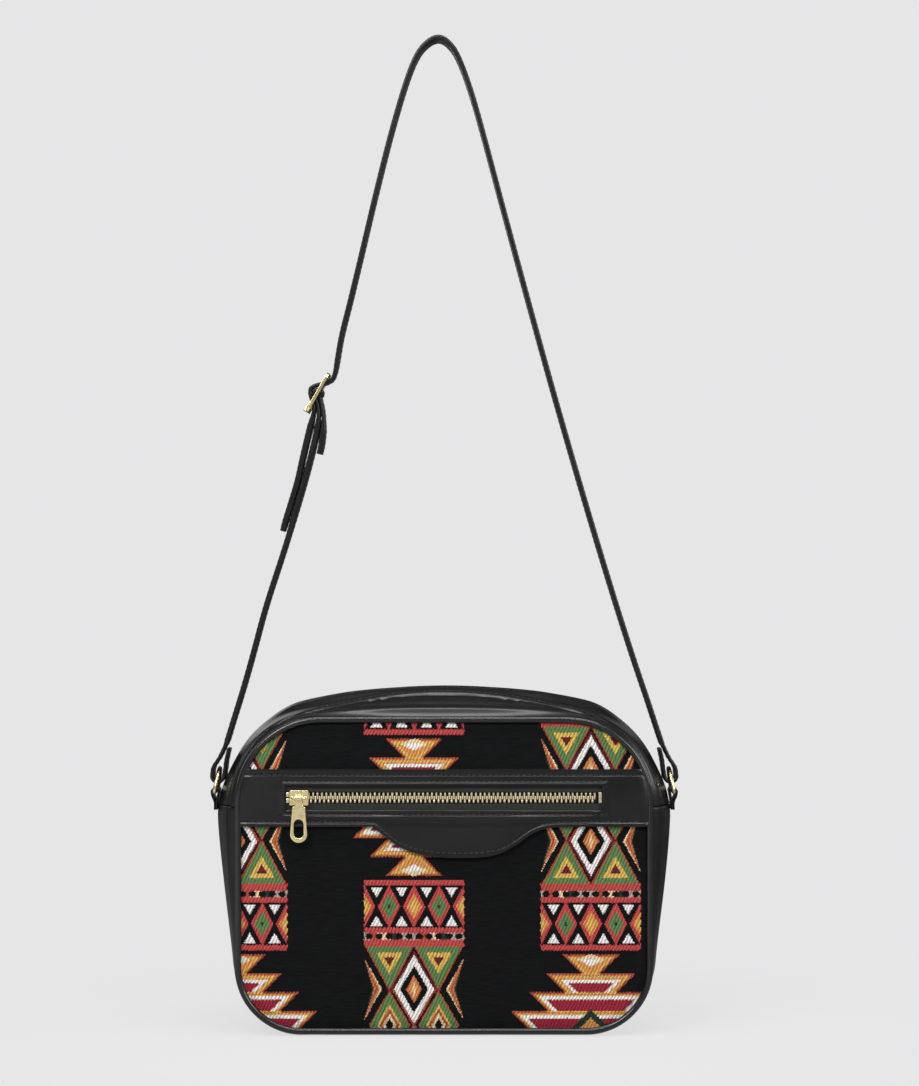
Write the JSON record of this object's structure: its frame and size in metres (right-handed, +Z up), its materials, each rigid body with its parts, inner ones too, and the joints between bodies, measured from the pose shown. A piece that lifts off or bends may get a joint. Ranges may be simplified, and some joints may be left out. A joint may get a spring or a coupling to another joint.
{
  "type": "crossbody handbag",
  "caption": "Zip-top crossbody camera bag with a woven banded front, faux leather body, zip pocket and an adjustable buckled shoulder strap held upright.",
  "frame": {"origin": "middle of the gusset's flat bottom, on which the bag stands", "axes": "+X to the right seen from the front, -Y towards the woven front, +Z up along the raised strap"},
  "size_m": [0.2748, 0.083, 0.5834],
  "materials": {
    "woven_cloth": "thick chenille jacquard, black ground with red, gold, green and white figures",
    "panel_leather": "satin black faux leather with a fine grain",
    "piping_leather": "satin black faux leather",
    "gusset_leather": "satin black faux leather, soft",
    "strap_leather": "black faux leather with painted edges",
    "zip_tape": "woven black tape",
    "zip_metal": "pale gold metal teeth",
    "gold_hardware": "polished pale gold plating",
    "lining_cloth": "thin black lining"
  },
  "bodies": {
    "bag": {"front_fabric": "woven_cloth", "pocket_panel": "panel_leather", "back_panel": "panel_leather", "front_piping": "piping_leather", "back_piping": "piping_leather", "top_gusset": "gusset_leather", "lower_gusset": "gusset_leather", "front_zip_tape_lower": "zip_tape", "front_zip_tape_upper": "zip_tape", "top_zip_tape_front": "zip_tape", "top_zip_tape_rear": "zip_tape", "front_teeth_lower": "zip_metal", "front_teeth_upper": "zip_metal", "front_top_stop_lower": "zip_metal", "front_top_stop_upper": "zip_metal", "front_bottom_stop": "zip_metal", "top_teeth_front": "zip_metal", "top_teeth_rear": "zip_metal", "ring_tab_left": "strap_leather", "ring_tab_right": "strap_leather", "long_strap": "strap_leather", "short_strap": "strap_leather", "buckle_frame": "gold_hardware", "pocket_pouch": "lining_cloth", "lining": "lining_cloth"},
    "pocket_slider": {"front_slider": "gold_hardware"},
    "pocket_pull": {"front_pull": "gold_hardware"},
    "main_slider": {"top_slider": "gold_hardware"},
    "main_pull": {"top_pull": "gold_hardware"},
    "ring_left": {"d_ring_left": "gold_hardware"},
    "ring_right": {"d_ring_right": "gold_hardware"},
    "prong": {"buckle_prong": "gold_hardware"}
  },
  "joints": [
    {"name": "pocket_zip_slide", "type": "slide", "parent": "bag", "child": "pocket_slider", "axis": [1, 0, 0], "range_m": [0, 0.167]},
    {"name": "pocket_pull_swing", "type": "hinge", "parent": "pocket_slider", "child": "pocket_pull", "pos_m": [-0.0837, -0.0421, 0.1374], "axis": [-1, 0, 0], "range_deg": [0, 165]},
    {"name": "main_zip_travel", "type": "hinge", "parent": "bag", "child": "main_slider", "pos_m": [0, 0, -0.1501], "axis": [0, 1, 0], "range_deg": [0, 25.6]},
    {"name": "main_pull_swing", "type": "hinge", "parent": "main_slider", "child": "main_pull", "pos_m": [-0.0774, 0, 0.19042], "axis": [0, -1, 0], "range_deg": [0, 165]},
    {"name": "ring_left_swing", "type": "hinge", "parent": "bag", "child": "ring_left", "pos_m": [-0.13457, 0, 0.1385], "axis": [0, 1, 0], "range_deg": [-4, 4]},
    {"name": "ring_right_swing", "type": "hinge", "parent": "bag", "child": "ring_right", "pos_m": [0.13457, 0, 0.1385], "axis": [0, 1, 0], "range_deg": [-4, 4]},
    {"name": "prong_lift", "type": "hinge", "parent": "bag", "child": "prong", "pos_m": [-0.07428, 0, 0.37267], "axis": [0, 1, 0], "range_deg": [0, 20]}
  ]
}
